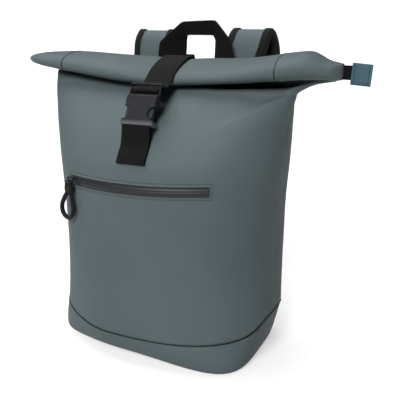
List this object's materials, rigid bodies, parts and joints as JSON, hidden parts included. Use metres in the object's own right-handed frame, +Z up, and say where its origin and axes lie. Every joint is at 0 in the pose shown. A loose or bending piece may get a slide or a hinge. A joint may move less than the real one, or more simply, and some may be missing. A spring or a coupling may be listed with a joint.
{
  "type": "rolltop backpack",
  "caption": "Rolltop backpack of coated cloth, standing, with a fastened side release buckle, front zip pocket, carry handle and padded shoulder straps.",
  "frame": {"origin": "on the floor under the middle of the bag's base", "axes": "+X to the right side of the bag seen from its front, +Y to the back panel and the shoulder straps, +Z up"},
  "size_m": [0.4718, 0.2546, 0.424],
  "materials": {
    "cloth": "matt coated woven cloth with a soft sheen",
    "strap_face": "matt coated cloth over foam, black mesh behind",
    "webbing": "ribbed woven webbing",
    "moulded": "fine grained moulded plastic",
    "zip_tape": "coated zipper tape",
    "slider": "dark painted die cast",
    "tab_cloth": "plain woven cloth, raw edge"
  },
  "bodies": {
    "root": {"rolled_top": "cloth", "bag_body": "cloth", "base_panel": "cloth", "buckle_socket": "moulded", "buckle_plug": "moulded", "closure_strap": "webbing", "anchor_webbing": "webbing", "pocket_zipper": "zip_tape", "zip_slider": "slider", "zip_pull": "webbing", "carry_handle": "webbing", "shoulder_strap_left": "strap_face", "shoulder_strap_right": "strap_face", "strap_binding_left_outer": "webbing", "strap_binding_left_inner": "webbing", "strap_binding_right_outer": "webbing", "strap_binding_right_inner": "webbing", "strap_adjuster_left": "moulded", "strap_adjuster_right": "moulded", "lock_webbing_left": "webbing", "lock_webbing_right": "webbing", "lower_webbing_left": "webbing", "lower_webbing_right": "webbing", "roll_end_webbing": "webbing", "roll_end_tab": "tab_cloth"}
  },
  "joints": []
}
